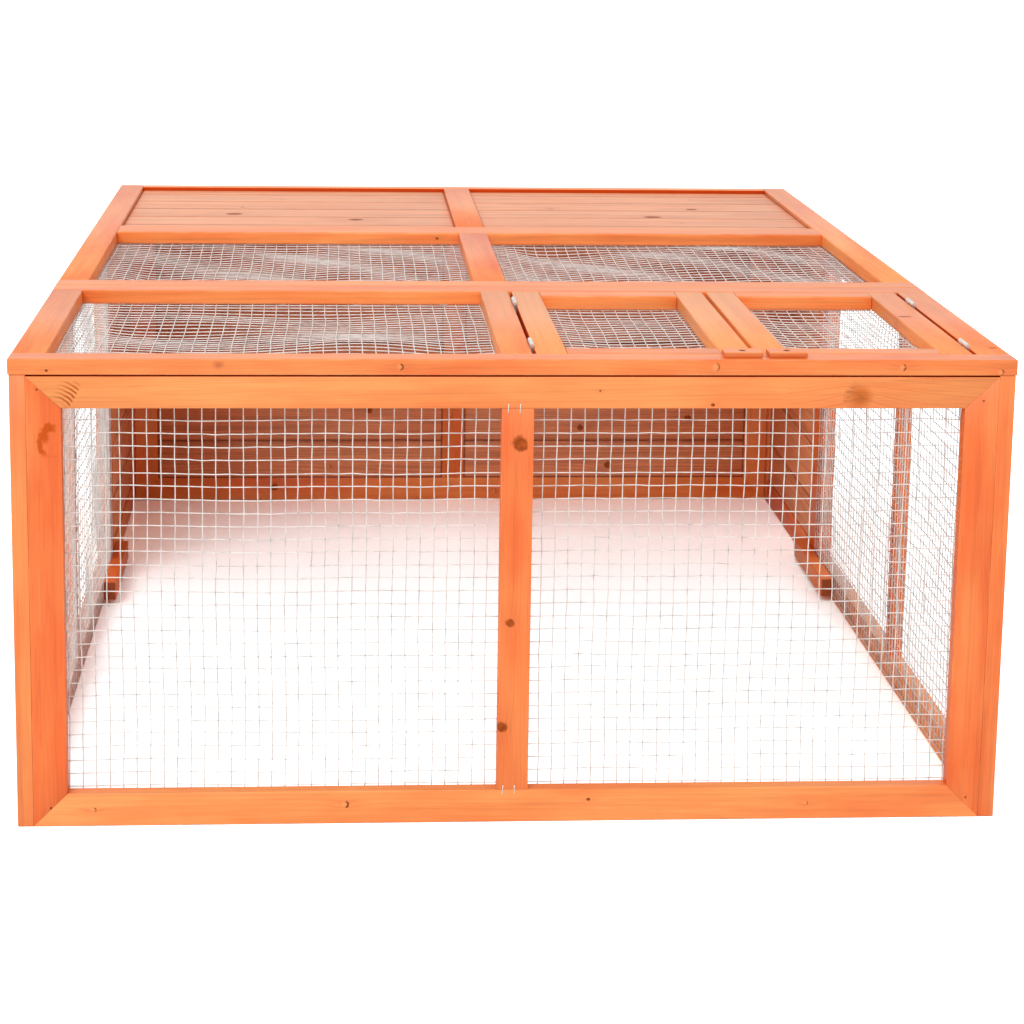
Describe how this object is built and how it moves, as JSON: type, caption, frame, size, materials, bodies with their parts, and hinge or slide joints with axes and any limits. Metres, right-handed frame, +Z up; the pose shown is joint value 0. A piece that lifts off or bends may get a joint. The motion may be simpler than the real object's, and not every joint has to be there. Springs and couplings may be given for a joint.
{
  "type": "outdoor animal hutch",
  "caption": "Low stained softwood hutch: an open-bottomed wire mesh run with a boarded shelter at the back, and hinged mesh doors in the roof held shut by wooden turn buttons.",
  "frame": {"origin": "on the ground, under the middle of the hutch", "axes": "+X to the right as seen from the front, +Y from the mesh front to the shelter at the back, +Z up"},
  "size_m": [0.935, 1.22, 0.4554],
  "materials": {
    "stained_wood": "satin orange stain",
    "board_wood": "satin pale orange stain",
    "mesh_wire": "galvanised wire",
    "zinc_steel": "bright zinc plate",
    "screw_steel": "dull zinc plate"
  },
  "bodies": {
    "hutch": {"front_top_rail": "stained_wood", "front_bottom_rail": "stained_wood", "front_left_stile": "stained_wood", "front_right_stile": "stained_wood", "front_centre_stile": "stained_wood", "left_run_rails": "stained_wood", "left_run_stiles": "stained_wood", "left_middle_stile": "stained_wood", "left_shelter_rails": "stained_wood", "left_shelter_stiles": "stained_wood", "right_run_rails": "stained_wood", "right_run_stiles": "stained_wood", "right_middle_stile": "stained_wood", "right_shelter_rails": "stained_wood", "right_shelter_stiles": "stained_wood", "side_cleats": "stained_wood", "back_top_rail": "stained_wood", "back_bottom_rail": "stained_wood", "back_corner_stiles": "stained_wood", "back_centre_stile": "stained_wood", "roof_front_rail": "stained_wood", "roof_head_rail": "stained_wood", "roof_front_left_stile": "stained_wood", "roof_front_centre_stile": "stained_wood", "roof_front_right_stile": "stained_wood", "roof_middle_rail": "stained_wood", "roof_shelter_rail": "stained_wood", "roof_back_rail": "stained_wood", "roof_rear_left_stile": "stained_wood", "roof_rear_centre_stiles": "stained_wood", "roof_rear_right_stile": "stained_wood", "left_boards": "board_wood", "right_boards": "board_wood", "back_boards": "board_wood", "roof_boards": "board_wood", "front_mesh": "mesh_wire", "left_mesh": "mesh_wire", "right_mesh": "mesh_wire", "roof_front_mesh": "mesh_wire", "roof_rear_mesh": "mesh_wire", "fixed_hinge_leaves": "zinc_steel", "hinge_pins": "zinc_steel", "joint_staples": "zinc_steel", "stile_hinge_screws": "screw_steel", "turn_button_screws": "screw_steel", "corner_screws": "screw_steel"},
    "left_door": {"left_door_hinge_stile": "stained_wood", "left_door_latch_stile": "stained_wood", "left_door_rails": "stained_wood", "left_door_mesh": "mesh_wire", "left_door_hinge_leaves": "zinc_steel", "left_door_hinge_screws": "screw_steel"},
    "right_door": {"right_door_hinge_stile": "stained_wood", "right_door_latch_stile": "stained_wood", "right_door_rails": "stained_wood", "right_door_mesh": "mesh_wire", "right_door_hinge_leaves": "zinc_steel", "right_door_hinge_screws": "screw_steel"},
    "left_turn_button": {"left_turn_button": "stained_wood"},
    "right_turn_button": {"right_turn_button": "stained_wood"}
  },
  "joints": [
    {"name": "left_door_hinge", "type": "hinge", "parent": "hutch", "child": "left_door", "pos_m": [0.0165, -0.41225, 0.45194], "axis": [0, -1, 0], "range_deg": [0, 180]},
    {"name": "right_door_hinge", "type": "hinge", "parent": "hutch", "child": "right_door", "pos_m": [0.434, -0.41225, 0.45194], "axis": [0, 1, 0], "range_deg": [0, 180]},
    {"name": "left_button_turn", "type": "hinge", "parent": "hutch", "child": "left_turn_button", "pos_m": [0.21025, -0.5918, 0.4504], "axis": [0, 0, 1], "continuous": true},
    {"name": "right_button_turn", "type": "hinge", "parent": "hutch", "child": "right_turn_button", "pos_m": [0.25225, -0.5918, 0.4504], "axis": [0, 0, 1], "continuous": true}
  ]
}
